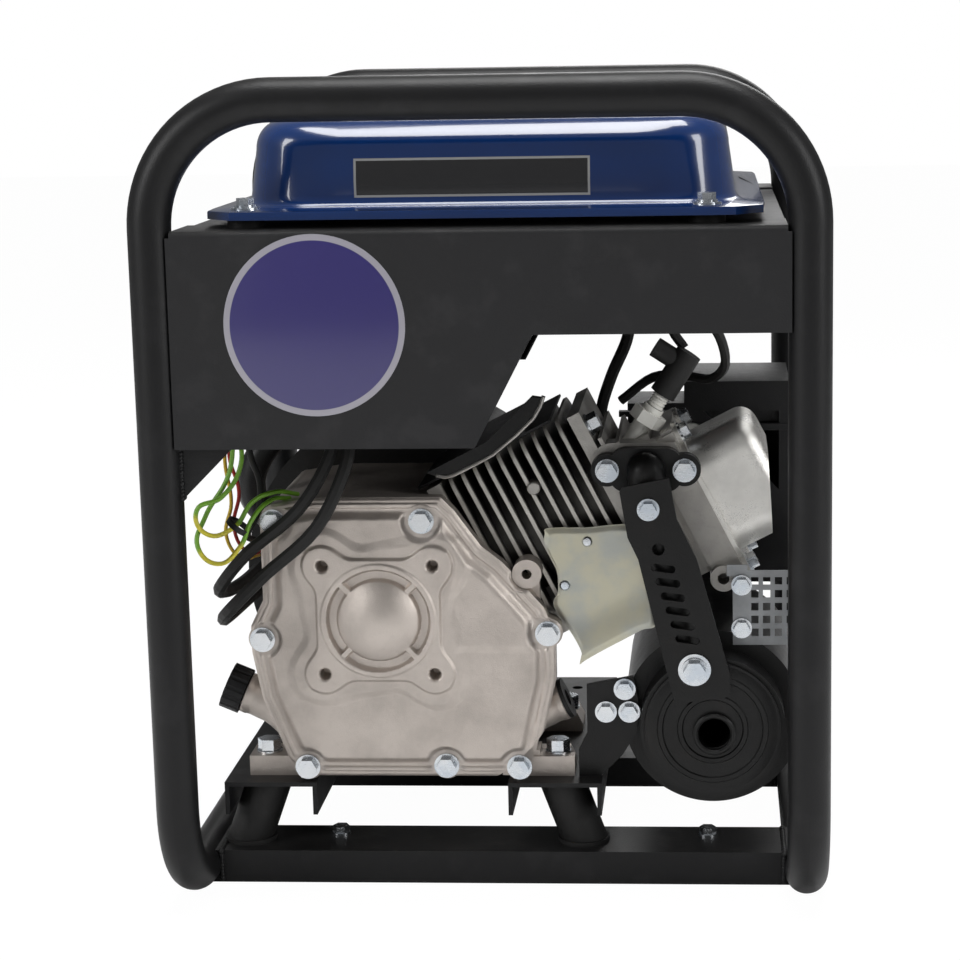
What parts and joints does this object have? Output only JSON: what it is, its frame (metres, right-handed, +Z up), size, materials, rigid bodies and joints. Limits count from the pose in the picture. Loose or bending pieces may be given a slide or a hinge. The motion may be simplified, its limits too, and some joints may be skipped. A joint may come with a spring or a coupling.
{
  "type": "engine driven welder",
  "caption": "Portable engine driven welder: tube frame with cross beams, air cooled engine and alternator on rubber mounts, weld output panel and blue fuel tank.",
  "frame": {"origin": "middle of the base, on the ground", "axes": "+Z up, +Y along the crankshaft from the crankcase cover end to the starter end, -X the control panel side"},
  "size_m": [0.445, 0.44, 0.552],
  "materials": {
    "frame_black": "satin powder coat, black",
    "panel_grey": "satin powder coat, charcoal",
    "tank_blue": "gloss enamel, blue",
    "black_plastic": "moulded, fine grain",
    "white_plastic": "moulded",
    "red_plastic": "moulded",
    "brass": "turned",
    "zinc_steel": "bright zinc plated",
    "rubber": "moulded black rubber",
    "tap_metal": "die cast",
    "heatsink": "extruded",
    "cast_alloy": "die cast, blasted",
    "stamped_alloy": "drawn, bright",
    "exhaust_black": "heat resisting matt black",
    "ceramic": "glazed ceramic",
    "perforated_steel": "dull zinc",
    "passivated_steel": "olive yellow passivated zinc",
    "machined_steel": "machined",
    "copper": "enamelled copper windings",
    "earth_green": "green and yellow insulation"
  },
  "bodies": {
    "frame": {"front_hoop": "frame_black", "rear_hoop": "frame_black", "side_rails": "frame_black", "cross_beams": "frame_black", "panel_gussets": "frame_black", "front_end_panel": "panel_grey", "rear_end_panel": "panel_grey", "tank_deck": "panel_grey", "control_box": "panel_grey", "control_panel": "panel_grey", "weld_sockets": "black_plastic", "ac_outlets": "black_plastic", "switch_bodies": "black_plastic", "output_meter": "black_plastic", "earth_terminal": "brass", "inverter_module": "heatsink", "fuel_tank": "tank_blue", "tank_fixings": "zinc_steel", "tank_bushes": "rubber", "fuel_tap": "tap_metal", "fuel_hose": "rubber", "crankcase": "cast_alloy", "crankcase_cover": "cast_alloy", "cover_bolts": "zinc_steel", "cylinder_barrel": "cast_alloy", "cylinder_head": "cast_alloy", "rocker_cover": "stamped_alloy", "engine_fixings": "zinc_steel", "cooling_shroud": "exhaust_black", "spark_plug": "ceramic", "ht_lead": "rubber", "exhaust_elbow": "exhaust_black", "muffler": "exhaust_black", "muffler_strap": "exhaust_black", "heat_shield": "perforated_steel", "heat_deflector": "passivated_steel", "muffler_bracket": "exhaust_black", "mount_channels": "frame_black", "rubber_isolators": "rubber", "foot_bolts": "zinc_steel", "oil_plug": "black_plastic", "stator": "copper", "fan_housing": "exhaust_black", "recoil_cover": "black_plastic", "carburettor": "cast_alloy", "air_cleaner": "black_plastic", "output_cables": "rubber", "earth_wires": "earth_green"},
    "knob": {"current_knob": "black_plastic"},
    "breaker": {"breaker_button": "white_plastic"},
    "engine_switch": {"engine_switch": "red_plastic"},
    "tank_cap": {"fuel_cap": "black_plastic"},
    "tap_lever": {"fuel_tap_lever": "red_plastic"},
    "oil_dipstick": {"dipstick": "black_plastic"},
    "crank": {"crankshaft": "machined_steel", "rotor": "machined_steel"},
    "piston": {"piston": "cast_alloy"},
    "pulley": {"recoil_pulley": "white_plastic"},
    "starter_handle": {"recoil_handle": "black_plastic"},
    "choke": {"choke_lever": "black_plastic"}
  },
  "joints": [
    {"name": "knob_turn", "type": "hinge", "parent": "frame", "child": "knob", "pos_m": [-0.1955, -0.121, 0.414], "axis": [-1, 0, 0], "range_deg": [0, 270]},
    {"name": "breaker_press", "type": "slide", "parent": "frame", "child": "breaker", "axis": [1, 0, 0], "range_m": [0, 0.004], "stiffness_N_per_m": 300, "springref_m": -0.002},
    {"name": "engine_switch_rock", "type": "hinge", "parent": "frame", "child": "engine_switch", "pos_m": [-0.1945, 0.022, 0.41], "axis": [0, 1, 0], "range_deg": [-12, 12]},
    {"name": "tank_cap_twist", "type": "hinge", "parent": "frame", "child": "tank_cap", "pos_m": [0.06, 0.05, 0.53], "axis": [0, 0, 1], "range_deg": [0, 90]},
    {"name": "fuel_tap_turn", "type": "hinge", "parent": "frame", "child": "tap_lever", "pos_m": [0.09, -0.052, 0.429], "axis": [0, 1, 0], "range_deg": [0, 90]},
    {"name": "dipstick_unscrew", "type": "hinge", "parent": "frame", "child": "oil_dipstick", "pos_m": [-0.15, -0.116, 0.118], "axis": [-0.9205, 0, 0.3907], "range_deg": [0, 720]},
    {"name": "crank_spin", "type": "hinge", "parent": "frame", "child": "crank", "pos_m": [-0.079, 0, 0.1885], "axis": [0, 1, 0], "continuous": true},
    {"name": "piston_travel", "type": "slide", "parent": "frame", "child": "piston", "axis": [0.891, 0, 0.454], "range_m": [0, 0.064]},
    {"name": "starter_pull", "type": "slide", "parent": "frame", "child": "starter_handle", "axis": [-1, 0, 0], "range_m": [0, 0.5], "stiffness_N_per_m": 12, "springref_m": -0.25},
    {"name": "pulley_spin", "type": "hinge", "parent": "frame", "child": "pulley", "pos_m": [-0.079, 0.145, 0.1885], "axis": [0, 1, 0], "range_deg": [0, 660]},
    {"name": "choke_turn", "type": "hinge", "parent": "frame", "child": "choke", "pos_m": [0.112, 0.034, 0.276], "axis": [0, 0, 1], "range_deg": [0, 60]}
  ],
  "couplings": [
    {"joint": "pulley_spin", "follows": "starter_pull", "rad_per_m": 22.73}
  ]
}
